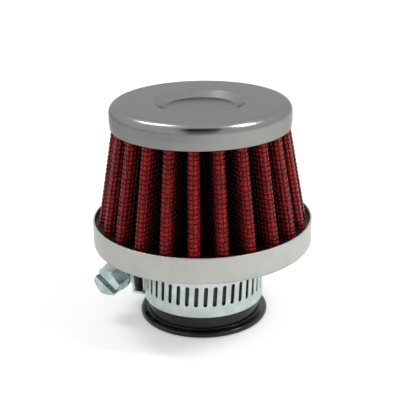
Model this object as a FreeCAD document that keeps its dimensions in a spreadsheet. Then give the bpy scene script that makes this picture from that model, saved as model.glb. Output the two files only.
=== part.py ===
"""Clamp-on conical air filter with a pleated gauze element, as a parametric FreeCAD document.

Millimetres. +Z is up the filter's axis and the origin is the middle of the rubber neck's mouth.
The hose clamp is drawn in a frame of its own: its screw lies along X over the +Y side of the band,
head towards -X, and every clamp piece is then turned and raised to its place on the neck.
"""
import FreeCAD, Part
import math
import os
import re
import Sketcher

SIZES = [
    # rubber neck
    ("bore_radius", 12.5, "inside of the neck, for a 25 mm pipe"),
    ("neck_wall", 3.2, "wall of the neck where the clamp sits"),
    ("neck_length", 21.4, "mouth of the neck to the underside of the base cup"),
    ("lip_overhang", 1.99, "bead round the mouth, beyond the neck's outside"),
    ("lip_height", 1.6, "height of the bead"),
    ("lip_round", 0.7, "rounding of the bead"),
    ("groove_depth", 1.0, "groove that holds the base cup's floor"),
    ("flange_overhang", 1.3, "flange above the base cup's floor, beyond the neck's outside"),
    ("flange_thickness", 1.8, "thickness of that flange"),
    # base cup
    ("cup_radius", 29.6, "outside of the base cup"),
    ("cup_height", 7.2, "height of the base cup"),
    ("cup_sheet", 0.5, "its sheet metal"),
    ("cup_round", 1.0, "outside rounding of its lower corner"),
    # top cap
    ("exposed_height", 25.4, "element showing between the cup's rim and the cap's skirt"),
    ("cap_radius", 24.0, "outside of the cap"),
    ("cap_height", 6.4, "height of the cap"),
    ("cap_sheet", 0.4, "its sheet metal"),
    ("cap_round", 2.0, "outside rounding of its shoulder"),
    ("recess_radius", 12.4, "pressed recess in the top, at its mouth"),
    ("recess_floor_radius", 11.1, "the same, at its floor"),
    ("recess_depth", 1.8, "depth of the recess"),
    ("recess_round", 0.35, "rounding of the recess's edges"),
    # pleated element
    ("first_ridge", -94.9, "bearing of one outer fold from +X, degrees"),
    ("cup_gap", 1.1, "outer folds inside the base cup, level with its rim"),
    ("cap_gap", 0.1, "outer folds inside the cap, level with its skirt"),
    ("fold_gap", 0.55, "least space between two inner folds, at the top"),
    ("pleat_depth", 8.5, "centre of the outer folds to centre of the inner folds"),
    ("ridge_bend", 0.9, "mid-thickness radius of an outer fold"),
    ("valley_bend", 0.8, "mid-thickness radius of an inner fold"),
    ("screen_thickness", 0.28, "woven wire screen"),
    ("gauze_thickness", 0.14, "one layer of cotton gauze"),
    ("gauze_layers", 4, "layers of gauze between the screens"),
    ("layer_gap", 0.03, "slack between neighbouring layers"),
    ("clip_thickness", 0.3, "seam clip's strip metal"),
    ("clip_reach", 3.6, "how far the clip's legs reach in from the fold's centre"),
    ("clip_end_gap", 0.6, "clip's ends to the cup's potting and the cap's skirt"),
    # potting
    ("lower_potting_drop", 1.3, "lower potting's surface below the cup's rim"),
    ("upper_potting_rise", 0.8, "upper potting's surface above the cap's lower edge"),
    ("pleat_embed", 2.9, "depth that the pleats stand in each potting"),
    ("lower_potting_cover", 0.33, "lower potting inside the inner folds, taken at the cup's rim"),
    ("upper_potting_cover", 1.13, "upper potting inside the inner folds, taken at the cap's skirt"),
    ("bond_gap", 0.02, "glue line between curved faces that are bonded"),
    # hose clamp
    ("clamp_lift", 3.9, "band above the bead"),
    ("clamp_bearing", 62.8, "turn of the clamp about the neck, degrees"),
    ("band_clearance", 0.05, "band over the rubber"),
    ("band_thickness", 0.7, "strip thickness"),
    ("band_width", 12.0, "strip width"),
    ("fixed_end_angle", 15.0, "strip's fixed end, from the middle of the housing, degrees"),
    ("leave_angle", 66.0, "where the strip leaves the neck, from the same place, degrees"),
    ("strip_bend", 3.0, "mid-thickness radius of the bend into the housing"),
    ("strip_gap", 0.6, "play between the band and the part of the strip that travels"),
    ("slot_length", 5.7, "slot in the strip, end to end"),
    ("slot_width", 1.0, "width of a slot"),
    ("slot_tilt", 4.0, "lean of the slots, degrees"),
    ("slots_tip_side", 13, "slots round the band from its middle towards the screw's tip"),
    ("slots_head_side", 16, "the same, towards the screw's head"),
    ("slots_straight", 3, "slots in the straight run up to the housing"),
    ("slots_travelling", 7, "slots in the part of the strip that travels"),
    ("saddle_thickness", 0.65, "curved plate between the band and the travelling strip"),
    ("saddle_angle", 24.0, "half the arc that the saddle covers, degrees"),
    ("tail_clearance", 0.05, "travelling strip over the saddle, and the housing over the strip"),
    ("tail_overhang", 1.4, "travelling strip's end beyond the housing"),
    ("tail_corner", 2.5, "rounding of the travelling strip's corners"),
    ("housing_length", 15.4, "housing, along the screw"),
    ("housing_sheet", 0.7, "housing's sheet metal"),
    ("housing_side_gap", 0.2, "housing's flanges beside the strip"),
    ("housing_foot_lap", 0.15, "housing's flanges below the band's outer face"),
    ("housing_corner_drop", 1.4, "lowest corners of the flanges below the band's outer face"),
    ("thread_gap", 0.25, "thread inside the housing's arch"),
    ("end_wall", 0.8, "housing's wall round the screw's neck"),
    # clamp screw
    ("thread_radius", 3.2, "crest of the thread"),
    ("core_radius", 2.3, "root of the thread"),
    ("thread_pitch", 2.5, "pitch of the thread and of the slots"),
    ("thread_crest", 0.4, "width of the crest"),
    ("thread_root", 0.95, "width of the thread at its root"),
    ("thread_bite", 0.45, "depth that the thread stands in the strip's slots"),
    ("thread_turns", 4.5, "turns of thread"),
    ("thread_start", 5.85, "first turn's middle from the middle of the housing"),
    ("screw_neck_radius", 2.2, "plain neck in the housing's wall"),
    ("screw_neck_gap", 0.05, "running clearance round that neck"),
    ("tip_radius", 1.5, "end of the screw's tip"),
    ("tip_length", 0.9, "taper of the tip"),
    ("tip_reach", 7.3, "screw's tip from the middle of the housing"),
    ("collar_radius", 4.27, "collar under the hexagon"),
    ("collar_thickness", 1.1, "thickness of that collar"),
    ("collar_reach", 12.1, "collar's near face from the middle of the housing"),
    ("hex_flats", 7.0, "hexagon across flats"),
    ("hex_height", 4.8, "height of the hexagon"),
    ("hex_chamfer", 0.35, "chamfer of the hexagon's end, along the screw"),
    ("hex_face_radius", 3.35, "flat end face inside the chamfer"),
    ("driver_slot_width", 1.6, "screwdriver slot"),
    ("driver_slot_depth", 1.7, "its depth"),
    ("driver_slot_turn", 38.0, "its turn about the screw, degrees"),
]

# The rubber neck's radii
NECK_RADIUS = "(bore_radius + neck_wall)"
LIP_RADIUS = f"({NECK_RADIUS} + lip_overhang)"
FLANGE_RADIUS = f"({NECK_RADIUS} + flange_overhang)"
GROOVE_RADIUS = f"({NECK_RADIUS} - groove_depth)"

# Stations up the filter's axis
CUP_FLOOR = "(neck_length + cup_sheet)"
CUP_RIM = "(neck_length + cup_height)"
CAP_RIM = f"({CUP_RIM} + exposed_height)"
CAP_TOP = f"({CAP_RIM} + cap_height)"
CAP_UNDERSIDE = f"({CAP_TOP} - cap_sheet)"
RECESS_UNDERSIDE = f"({CAP_UNDERSIDE} - recess_depth)"
FLANGE_TOP = f"({CUP_FLOOR} + flange_thickness)"
LOWER_POTTING_TOP = f"({CUP_RIM} - lower_potting_drop)"
UPPER_POTTING_BASE = f"({CAP_RIM} + upper_potting_rise)"
PLEAT_FOOT = f"({LOWER_POTTING_TOP} - pleat_embed)"
PLEAT_TOP = f"({UPPER_POTTING_BASE} + pleat_embed)"

# The pleated element: its thickness, its folds at the cup's rim and the cap's skirt, and its pleats
PACK = "(2 * screen_thickness + gauze_layers * gauze_thickness + (gauze_layers + 1) * layer_gap)"
FOLDS_AT_RIM = "(cup_radius - cup_sheet - cup_gap)"
FOLDS_AT_SKIRT = "(cap_radius - cap_sheet - cap_gap)"
FOLD_LEAN = f"(({FOLDS_AT_RIM} - {FOLDS_AT_SKIRT}) / exposed_height)"
FOLD_CENTRE_DEPTH = f"(ridge_bend + {PACK} / 2)"
INNER_FOLD_DEPTH = f"({FOLD_CENTRE_DEPTH} + pleat_depth + valley_bend + {PACK} / 2)"
TOP_FOLD_CIRCLE = (f"({FOLDS_AT_SKIRT} - {FOLD_LEAN} * ({PLEAT_TOP} - {CAP_RIM})"
                   f" - {FOLD_CENTRE_DEPTH} - pleat_depth)")
PLEAT_COUNT = f"floor(2 * pi * {TOP_FOLD_CIRCLE} / (2 * valley_bend + {PACK} + fold_gap))"
LOWER_POTTING_BORE = f"({FOLDS_AT_RIM} - {INNER_FOLD_DEPTH} - lower_potting_cover)"
UPPER_POTTING_BORE = f"({FOLDS_AT_SKIRT} - {INNER_FOLD_DEPTH} - upper_potting_cover)"

# The clamp's level on the neck, and radii in the clamp's own frame
CLAMP_LEVEL = "(lip_height + clamp_lift + band_width / 2)"
BAND_INNER = f"({NECK_RADIUS} + band_clearance)"
BAND_OUTER = f"({BAND_INNER} + band_thickness)"
SADDLE_INNER = f"({BAND_OUTER} + bond_gap)"
SADDLE_OUTER = f"({SADDLE_INNER} + saddle_thickness)"
TAIL_LOW = f"({SADDLE_OUTER} + tail_clearance)"
TAIL_HIGH = f"({TAIL_LOW} + band_thickness)"
SCREW_LINE = f"({TAIL_HIGH} + thread_radius - thread_bite)"
HOUSING_END = "(housing_length / 2)"

# The strip's bend into the housing: its centre, and how far the straight run before it reaches
BEND_Y = f"({TAIL_LOW} + band_thickness / 2 - strip_bend)"
STRIP_MIDDLE = f"({BAND_INNER} + band_thickness / 2)"
BEND_X = f"(({STRIP_MIDDLE} - strip_bend - {BEND_Y} * cos(leave_angle)) / sin(leave_angle))"
STRAIGHT_RUN = f"({BEND_Y} * sin(leave_angle) - {BEND_X} * cos(leave_angle) - strip_gap)"
SLOT_STEP_ANGLE = f"(thread_pitch / {BAND_OUTER} * 180 / pi)"

document = FreeCAD.newDocument("AirFilter")
sheet = document.addObject("Spreadsheet::Sheet", "Sizes")
for row, (size_name, size_value, size_note) in enumerate(SIZES, start=1):
    sheet.set(f"A{row}", size_name)
    sheet.set(f"B{row}", str(size_value))
    sheet.set(f"C{row}", size_note)
    sheet.setAlias(f"B{row}", size_name)
document.recompute()

SIZE_NAMES = {size[0] for size in SIZES}


def linked(text):
    """Point every size name in an expression at its cell in the sheet."""
    return re.sub(r"[a-z][a-z_]+", lambda word: "Sizes." * (word[0] in SIZE_NAMES) + word[0], str(text))


def worth(text):
    """Work out an expression of size names as a number."""
    result = sheet.evalExpression(linked(text))
    return float(getattr(result, "Value", result))


def bind(item, prop, text):
    """Bind one property of a document object to an expression of size names."""
    item.setExpression(prop, linked(text))


def new_body(label):
    body = document.addObject("PartDesign::Body", label)
    body.Label = label
    return body


def feature(body, kind, name, profile=None, **settings):
    """Add a PartDesign feature; a string setting is an expression, anything else a plain value."""
    item = body.newObject("PartDesign::" + kind, f"{body.Name}_{name}")
    if profile is not None:
        item.Profile = profile
    for prop, setting in settings.items():
        if isinstance(setting, str) and prop not in ("Type", "SideType", "Mode"):
            bind(item, prop, setting)
        else:
            setattr(item, prop, setting)
    return item


def new_sketch(body, name, plane):
    sketch = body.newObject("Sketcher::SketchObject", f"{body.Name}_{name}")
    role = next(item for item in body.Origin.OriginFeatures if item.Role == plane)
    sketch.AttachmentSupport = [(role, "")]
    sketch.MapMode = "FlatFace"
    return sketch


def shift_sketch(sketch, across, up, out):
    """Shift a sketch in its own frame: across and up its plane, and out of it."""
    offset = FreeCAD.Vector(worth(across), worth(up), worth(out))
    sketch.AttachmentOffset = FreeCAD.Placement(offset, FreeCAD.Rotation())
    for axis, text in zip("xyz", (across, up, out)):
        bind(sketch, f"AttachmentOffset.Base.{axis}", text)


def outline(sketch, corners):
    """Draw a closed outline. Each corner is (across, up) or (across, up, radius, side).

    A radius bends the edge that leaves the corner into an arc: side +1 turns it left about its
    centre and -1 right.
    """
    places = [FreeCAD.Vector(worth(corner[0]), worth(corner[1]), 0) for corner in corners]
    edges = []
    for index, corner in enumerate(corners):
        begin = places[index]
        end = places[(index + 1) % len(places)]
        if len(corner) == 2:
            edges.append(sketch.addGeometry(Part.LineSegment(begin, end)))
            continue
        radius, side = worth(corner[2]), corner[3]
        chord = end - begin
        normal = FreeCAD.Vector(-chord.y, chord.x, 0).normalize() * side
        rise = math.sqrt(max(radius**2 - (chord.Length / 2) ** 2, 0))
        centre = (begin + end) / 2 + normal * rise
        middle = centre - normal * radius
        # an arc in a sketch always runs counter-clockwise
        first, last = (begin, end) if side > 0 else (end, begin)
        edges.append(sketch.addGeometry(Part.Arc(first, middle, last)))
    starts = []
    for index, corner in enumerate(corners):
        edge = sketch.Geometry[edges[index]]
        forward = (edge.StartPoint - places[index]).Length < (edge.EndPoint - places[index]).Length
        starts.append(1 if forward else 2)
    for index, corner in enumerate(corners):
        following = (index + 1) % len(corners)
        finish = 3 - starts[index]
        sketch.addConstraint(
            Sketcher.Constraint("Coincident", edges[index], finish, edges[following], starts[following])
        )
    for index, corner in enumerate(corners):
        for kind, text in (("DistanceX", corner[0]), ("DistanceY", corner[1])):
            number = sketch.addConstraint(
                Sketcher.Constraint(kind, -1, 1, edges[index], starts[index], worth(text))
            )
            if not isinstance(text, (int, float)):
                bind(sketch, f"Constraints[{number}]", text)
        if len(corner) > 2:
            number = sketch.addConstraint(Sketcher.Constraint("Radius", edges[index], worth(corner[2])))
            bind(sketch, f"Constraints[{number}]", corner[2])
    return sketch


def add_circle(sketch, across, up, radius):
    """Draw a circle with its centre and radius bound to expressions."""
    place = FreeCAD.Vector(worth(across), worth(up), 0)
    number = sketch.addGeometry(Part.Circle(place, FreeCAD.Vector(0, 0, 1), worth(radius)))
    for kind, text in (("DistanceX", across), ("DistanceY", up)):
        constraint = sketch.addConstraint(Sketcher.Constraint(kind, -1, 1, number, 3, worth(text)))
        if not isinstance(text, (int, float)):
            bind(sketch, f"Constraints[{constraint}]", text)
    constraint = sketch.addConstraint(Sketcher.Constraint("Radius", number, worth(radius)))
    bind(sketch, f"Constraints[{constraint}]", radius)


def turned_solid(label, corners):
    """A body made by turning a closed half-section, (radius, height) corners, about the Z axis."""
    body = new_body(label)
    sketch = outline(new_sketch(body, "section", "XZ_Plane"), corners)
    feature(body, "Revolution", "turned", sketch, ReferenceAxis=(sketch, ["V_Axis"]))
    document.recompute()
    return body


def round_rims(body, name, radius, rims):
    """Fillet the circular edges that lie at the given (radius, height) places."""
    base = body.Tip
    chosen = []
    for rim_radius, rim_height in rims:
        target = (worth(rim_radius), worth(rim_height))
        for number, edge in enumerate(base.Shape.Edges, start=1):
            curve = edge.Curve
            if not isinstance(curve, Part.Circle) or math.hypot(curve.Center.x, curve.Center.y) > 1e-6:
                continue
            if math.hypot(curve.Radius - target[0], curve.Center.z - target[1]) < 1e-4:
                chosen.append(f"Edge{number}")
    feature(body, "Fillet", name, Base=(base, sorted(set(chosen))), Radius=radius)
    document.recompute()


# ---------------------------------------------------------------- sheet-metal ends and rubber neck
def make_top_cap():
    """Pressed cap: a flat top with a shallow dished recess, a rounded shoulder and a short skirt."""
    cap = turned_solid("top_cap", [
        (0, f"{CAP_TOP} - recess_depth"),
        ("recess_floor_radius", f"{CAP_TOP} - recess_depth"),
        ("recess_radius", CAP_TOP),
        ("cap_radius", CAP_TOP),
        ("cap_radius", CAP_RIM),
        ("cap_radius - cap_sheet", CAP_RIM),
        ("cap_radius - cap_sheet", CAP_UNDERSIDE),
        ("recess_radius + cap_sheet / 2", CAP_UNDERSIDE),
        ("recess_floor_radius + cap_sheet / 2", RECESS_UNDERSIDE),
        (0, RECESS_UNDERSIDE),
    ])
    round_rims(cap, "shoulder", "cap_round", [("cap_radius", CAP_TOP)])
    round_rims(cap, "shoulder_inside", "cap_round - cap_sheet", [("cap_radius - cap_sheet", CAP_UNDERSIDE)])
    round_rims(cap, "recess_edges", "recess_round", [
        ("recess_radius", CAP_TOP),
        ("recess_floor_radius", f"{CAP_TOP} - recess_depth"),
    ])
    return cap


def make_base_cup():
    """Pressed cup: a wall that hides the pleats' feet and a floor with the hole for the neck."""
    cup = turned_solid("base_cup", [
        (GROOVE_RADIUS, "neck_length"),
        ("cup_radius", "neck_length"),
        ("cup_radius", CUP_RIM),
        ("cup_radius - cup_sheet", CUP_RIM),
        ("cup_radius - cup_sheet", CUP_FLOOR),
        (GROOVE_RADIUS, CUP_FLOOR),
    ])
    round_rims(cup, "corner", "cup_round", [("cup_radius", "neck_length")])
    round_rims(cup, "corner_inside", "cup_round - cup_sheet", [("cup_radius - cup_sheet", CUP_FLOOR)])
    return cup


def make_rubber_neck():
    """Moulded neck: a bead at the mouth, a seat for the clamp and a groove round the cup's floor."""
    neck = turned_solid("rubber_neck", [
        ("bore_radius", 0),
        (LIP_RADIUS, 0),
        (LIP_RADIUS, "lip_height"),
        (NECK_RADIUS, "lip_height"),
        (NECK_RADIUS, "neck_length"),
        (GROOVE_RADIUS, "neck_length"),
        (GROOVE_RADIUS, CUP_FLOOR),
        (FLANGE_RADIUS, CUP_FLOOR),
        (FLANGE_RADIUS, FLANGE_TOP),
        ("bore_radius", FLANGE_TOP),
    ])
    round_rims(neck, "bead", "lip_round", [(LIP_RADIUS, 0), (LIP_RADIUS, "lip_height")])
    return neck


# ---------------------------------------------------------------- pleated element
def fold_centres(height):
    """Radii of the circles on which the centres of the outer and the inner folds lie."""
    folds = worth(FOLDS_AT_RIM) - worth(FOLD_LEAN) * (height - worth(CUP_RIM))
    ridges = folds - worth(FOLD_CENTRE_DEPTH)
    return ridges, ridges - worth("pleat_depth")


def polar(radius, angle, height):
    return FreeCAD.Vector(radius * math.cos(angle), radius * math.sin(angle), height)


def panel_points(ridge_angle, side, height, offset):
    """Where one straight panel meets its outer and inner fold, at an offset from mid-thickness."""
    ridge_circle, valley_circle = fold_centres(height)
    half_step = math.pi / worth(PLEAT_COUNT)
    ridge = polar(ridge_circle, ridge_angle, height)
    valley = polar(valley_circle, ridge_angle + side * half_step, height)
    across = valley - ridge
    lean = math.acos((worth("ridge_bend") + worth("valley_bend")) / across.Length)
    touch = FreeCAD.Rotation(FreeCAD.Vector(0, 0, 1), -side * math.degrees(lean)).multVec(across.normalize())
    at_ridge = ridge + touch * (worth("ridge_bend") + offset)
    at_valley = valley - touch * (worth("valley_bend") - offset)
    return at_ridge, at_valley


def ridge_angles():
    """Bearing of every outer fold, in radians."""
    count = int(worth(PLEAT_COUNT))
    first = math.radians(worth("first_ridge"))
    return [first + 2 * math.pi * number / count for number in range(count)]


def pleat_wire(height, offset):
    """One closed turn of the pleats at a height, at an offset from mid-thickness."""
    ridge_circle, valley_circle = fold_centres(height)
    half_step = math.pi / worth(PLEAT_COUNT)
    edges = []
    for angle in ridge_angles():
        before, _ = panel_points(angle, -1, height, offset)
        after, valley_in = panel_points(angle, 1, height, offset)
        _, valley_out = panel_points(angle + 2 * half_step, -1, height, offset)
        crest = polar(ridge_circle + worth("ridge_bend") + offset, angle, height)
        trough = polar(valley_circle - worth("valley_bend") + offset, angle + half_step, height)
        edges.append(Part.Arc(before, crest, after).toShape())
        edges.append(Part.LineSegment(after, valley_in).toShape())
        edges.append(Part.Arc(valley_in, trough, valley_out).toShape())
        following, _ = panel_points(angle + 2 * half_step, -1, height, offset)
        edges.append(Part.LineSegment(valley_out, following).toShape())
    return Part.Wire(edges)


def pleat_layer(outside, inside):
    """A closed solid between the pleated surfaces at two offsets from mid-thickness."""
    foot_wires = [pleat_wire(worth(PLEAT_FOOT), offset) for offset in (outside, inside)]
    top_wires = [pleat_wire(worth(PLEAT_TOP), offset) for offset in (outside, inside)]
    faces = []
    for foot, top in zip(foot_wires, top_wires):
        faces.extend(Part.makeLoft([foot, top], False, True).Faces)
    for wires in (foot_wires, top_wires):
        faces.append(Part.makeFace(wires, "Part::FaceMakerBullseye"))
    shell = Part.Shell(faces)
    shell.sewShape()
    return Part.Solid(shell)


def make_element():
    """The six layers of the element, from the outer screen in to the inner one."""
    layers = [("outer_wire_screen", "screen_thickness")]
    for number in range(int(worth("gauze_layers"))):
        layers.append((f"gauze_layer_{number + 1}", "gauze_thickness"))
    layers.append(("inner_wire_screen", "screen_thickness"))
    pieces = []
    outside = worth(PACK) / 2
    for label, thickness in layers:
        inside = outside - worth(thickness)
        layer = document.addObject("Part::Feature", label)
        layer.Label = label
        layer.Shape = pleat_layer(outside, inside)
        pieces.append(layer)
        outside = inside - worth("layer_gap")
    return pieces


def make_seam_clip():
    """Folded strip over the rear outer fold, where the two ends of the pleated sheet meet."""
    angle = ridge_angles()[int(worth(PLEAT_COUNT)) // 2]
    wires = []
    for height in (worth(LOWER_POTTING_TOP) + worth("clip_end_gap"), worth(CAP_RIM) - worth("clip_end_gap")):
        rims = []
        for offset in (worth(PACK) / 2 + worth("bond_gap"),
                       worth(PACK) / 2 + worth("bond_gap") + worth("clip_thickness")):
            legs = []
            for side in (-1, 1):
                at_ridge, at_valley = panel_points(angle, side, height, offset)
                legs.append((at_ridge, at_ridge + (at_valley - at_ridge).normalize() * worth("clip_reach")))
            crest = polar(fold_centres(height)[0] + worth("ridge_bend") + offset, angle, height)
            rims.append((legs, crest))
        (inner_legs, inner_crest), (outer_legs, outer_crest) = rims
        wires.append(Part.Wire([
            Part.LineSegment(inner_legs[0][1], inner_legs[0][0]).toShape(),
            Part.Arc(inner_legs[0][0], inner_crest, inner_legs[1][0]).toShape(),
            Part.LineSegment(inner_legs[1][0], inner_legs[1][1]).toShape(),
            Part.LineSegment(inner_legs[1][1], outer_legs[1][1]).toShape(),
            Part.LineSegment(outer_legs[1][1], outer_legs[1][0]).toShape(),
            Part.Arc(outer_legs[1][0], outer_crest, outer_legs[0][0]).toShape(),
            Part.LineSegment(outer_legs[0][0], outer_legs[0][1]).toShape(),
            Part.LineSegment(outer_legs[0][1], inner_legs[0][1]).toShape(),
        ]))
    clip = document.addObject("Part::Feature", "seam_clip")
    clip.Label = "seam_clip"
    clip.Shape = Part.makeLoft(wires, True, True)
    return clip


def make_pack_envelope():
    """The space between the element's outermost and innermost faces, to be cut from the potting."""
    envelope = document.addObject("Part::Feature", "pack_envelope")
    half = worth(PACK) / 2 + worth("bond_gap")
    envelope.Shape = pleat_layer(half, -half)
    return envelope


def make_potting(label, ring, envelope):
    """A cast ring with the pleats' ends standing in it."""
    potting = document.addObject("Part::Cut", label)
    potting.Label = label
    potting.Base = ring
    potting.Tool = envelope
    return potting


def make_lower_potting(envelope):
    ring = turned_solid("lower_potting_ring", [
        (f"{FLANGE_RADIUS} + bond_gap", CUP_FLOOR),
        ("cup_radius - cup_sheet - bond_gap", CUP_FLOOR),
        ("cup_radius - cup_sheet - bond_gap", LOWER_POTTING_TOP),
        (LOWER_POTTING_BORE, LOWER_POTTING_TOP),
        (LOWER_POTTING_BORE, FLANGE_TOP),
        (f"{FLANGE_RADIUS} + bond_gap", FLANGE_TOP),
    ])
    round_rims(ring, "corner", "cup_round - cup_sheet", [("cup_radius - cup_sheet - bond_gap", CUP_FLOOR)])
    return make_potting("lower_potting", ring, envelope)


def make_upper_potting(envelope):
    ring = turned_solid("upper_potting_ring", [
        (UPPER_POTTING_BORE, UPPER_POTTING_BASE),
        ("cap_radius - cap_sheet - bond_gap", UPPER_POTTING_BASE),
        ("cap_radius - cap_sheet - bond_gap", CAP_UNDERSIDE),
        ("recess_radius + cap_sheet / 2 + bond_gap", CAP_UNDERSIDE),
        ("recess_floor_radius + cap_sheet / 2 + bond_gap", RECESS_UNDERSIDE),
        (UPPER_POTTING_BORE, RECESS_UNDERSIDE),
    ])
    corner = ("cap_radius - cap_sheet - bond_gap", CAP_UNDERSIDE)
    round_rims(ring, "corner", "cap_round - cap_sheet", [corner])
    return make_potting("upper_potting", ring, envelope)


# ---------------------------------------------------------------- hose clamp
def place_on_neck(body):
    """Turn a clamp piece about the neck and raise it to the clamp's level."""
    body.Placement = FreeCAD.Placement(
        FreeCAD.Vector(0, 0, worth(CLAMP_LEVEL)),
        FreeCAD.Rotation(FreeCAD.Vector(0, 0, 1), worth("clamp_bearing")),
    )
    bind(body, "Placement.Base.z", CLAMP_LEVEL)
    bind(body, "Placement.Rotation.Angle", "clamp_bearing")


def on_ring(radius, angle):
    """Expressions for a place on a circle, by its angle from +Y towards +X."""
    return f"{radius} * sin({angle})", f"{radius} * cos({angle})"


def slot_outline(sketch, lean, along="0"):
    """A round-ended slot that leans; along is its middle's place across the sketch."""
    half = "(slot_width / 2)"
    straight = "(slot_length / 2 - slot_width / 2)"

    def turned(across, up):
        return (f"{along} + {across} * cos({lean}) - {up} * sin({lean})",
                f"{across} * sin({lean}) + {up} * cos({lean})")

    outline(sketch, [
        turned(half, f"(-{straight})"),
        turned(half, straight) + (half, 1),
        turned("0", "(slot_length / 2)") + (half, 1),
        turned(f"(-{half})", straight),
        turned(f"(-{half})", f"(-{straight})") + (half, 1),
        turned("0", "(-slot_length / 2)") + (half, 1),
    ])
    return sketch


def make_clamp_band():
    """Slotted strip round the neck, leaving it at a tangent on its way to the housing."""
    band = new_body("clamp_band")
    inner_leave = on_ring(BAND_INNER, "leave_angle")
    outer_leave = on_ring(BAND_OUTER, "leave_angle")
    inner_end = (f"{inner_leave[0]} - {STRAIGHT_RUN} * cos(leave_angle)",
                 f"{inner_leave[1]} + {STRAIGHT_RUN} * sin(leave_angle)")
    outer_end = (f"{outer_leave[0]} - {STRAIGHT_RUN} * cos(leave_angle)",
                 f"{outer_leave[1]} + {STRAIGHT_RUN} * sin(leave_angle)")
    sketch = outline(new_sketch(band, "strip", "XY_Plane"), [
        on_ring(BAND_INNER, "fixed_end_angle") + (BAND_INNER, 1),
        (f"-{BAND_INNER}", 0, BAND_INNER, 1),
        (0, f"-{BAND_INNER}", BAND_INNER, 1),
        inner_leave,
        inner_end,
        outer_end,
        outer_leave + (BAND_OUTER, -1),
        (0, f"-{BAND_OUTER}", BAND_OUTER, -1),
        (f"-{BAND_OUTER}", 0, BAND_OUTER, -1),
        on_ring(BAND_OUTER, "fixed_end_angle"),
    ])
    feature(band, "Pad", "rolled", sketch, Length="band_width", SideType="Symmetric")
    document.recompute()

    first = slot_outline(new_sketch(band, "ring_slot", "XZ_Plane"), "(-slot_tilt)")
    turn_to_first = f"(slots_tip_side * {SLOT_STEP_ANGLE})"
    first.AttachmentOffset = FreeCAD.Placement(
        FreeCAD.Vector(), FreeCAD.Rotation(FreeCAD.Vector(0, 1, 0), worth(turn_to_first)))
    bind(first, "AttachmentOffset.Rotation.Angle", turn_to_first)
    document.recompute()
    cut = feature(band, "Pocket", "first_slot", first, Type="ThroughAll", Reversed=True)
    document.recompute()
    steps = "(slots_tip_side + slots_head_side)"
    ring = feature(band, "PolarPattern", "ring_slots", Originals=[cut], Reversed=True,
                   Angle=f"{steps} * {SLOT_STEP_ANGLE}", Occurrences=f"{steps} + 1")
    ring.Axis = (first, ["V_Axis"])
    band.Tip = ring
    document.recompute()

    # the last slot round the ring sets where the slots of the straight run begin
    first_place = f"(thread_pitch - (180 - leave_angle - {turn_to_first}) / 180 * pi * {BAND_OUTER})"
    flat = new_sketch(band, "straight_slot", "XZ_Plane")
    flat.AttachmentOffset = FreeCAD.Placement(
        FreeCAD.Vector(), FreeCAD.Rotation(FreeCAD.Vector(0, 1, 0), worth("180 - leave_angle")))
    bind(flat, "AttachmentOffset.Rotation.Angle", "180 - leave_angle")
    slot_outline(flat, "(-slot_tilt)", first_place)
    document.recompute()
    cut = feature(band, "Pocket", "first_straight_slot", flat, Type="ThroughAll", Reversed=True)
    document.recompute()
    run = feature(band, "LinearPattern", "straight_slots", Originals=[cut],
                  Length="(slots_straight - 1) * thread_pitch", Occurrences="slots_straight")
    run.Direction = (flat, ["H_Axis"])
    band.Tip = run
    document.recompute()
    place_on_neck(band)
    return band


def make_band_tail():
    """The part of the strip that the screw draws through the housing, with its bend."""
    tail = new_body("band_tail")
    inner_bend = "(strip_bend - band_thickness / 2)"
    outer_bend = "(strip_bend + band_thickness / 2)"
    front = f"(-{HOUSING_END} - tail_overhang)"
    bend_end = [(f"{BEND_X} + {radius} * sin(leave_angle)", f"{BEND_Y} + {radius} * cos(leave_angle)")
                for radius in (inner_bend, outer_bend)]
    sketch = outline(new_sketch(tail, "strip", "XY_Plane"), [
        (front, TAIL_LOW),
        (BEND_X, TAIL_LOW, inner_bend, -1),
        bend_end[0],
        bend_end[1] + (outer_bend, 1),
        (BEND_X, TAIL_HIGH),
        (front, TAIL_HIGH),
    ])
    pad = feature(tail, "Pad", "strip_pad", sketch, Length="band_width", SideType="Symmetric")
    document.recompute()
    corners = []
    for number, edge in enumerate(pad.Shape.Edges, start=1):
        middle = edge.CenterOfMass
        upright = abs(edge.BoundBox.YLength - worth("band_thickness")) < 1e-6
        if upright and edge.BoundBox.XLength < 1e-6 and abs(middle.x - worth(front)) < 1e-6:
            corners.append(f"Edge{number}")
    feature(tail, "Fillet", "corners", Base=(pad, corners), Radius="tail_corner")
    document.recompute()

    # a crest meets the strip half a pitch past the top of the screw; one more slot lies ahead of it
    first_place = "(-thread_start - thread_pitch / 2)"
    sketch = slot_outline(new_sketch(tail, "slot", "XZ_Plane"), "slot_tilt", first_place)
    document.recompute()
    cut = feature(tail, "Pocket", "first_slot", sketch, Type="ThroughAll", SideType="Symmetric")
    document.recompute()
    run = feature(tail, "LinearPattern", "slots", Originals=[cut],
                  Length="(slots_travelling - 1) * thread_pitch", Occurrences="slots_travelling")
    run.Direction = (sketch, ["H_Axis"])
    tail.Tip = run
    document.recompute()
    place_on_neck(tail)
    return tail


def make_clamp_saddle():
    """Curved plate on the band that the travelling strip slides over."""
    saddle = new_body("clamp_saddle")
    sketch = outline(new_sketch(saddle, "arc", "XY_Plane"), [
        on_ring(SADDLE_INNER, "(-saddle_angle)") + (SADDLE_INNER, -1),
        on_ring(SADDLE_INNER, "saddle_angle"),
        on_ring(SADDLE_OUTER, "saddle_angle") + (SADDLE_OUTER, 1),
        on_ring(SADDLE_OUTER, "(-saddle_angle)"),
    ])
    feature(saddle, "Pad", "plate", sketch, Length="band_width + 2 * housing_side_gap", SideType="Symmetric")
    document.recompute()
    place_on_neck(saddle)
    return saddle


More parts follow.
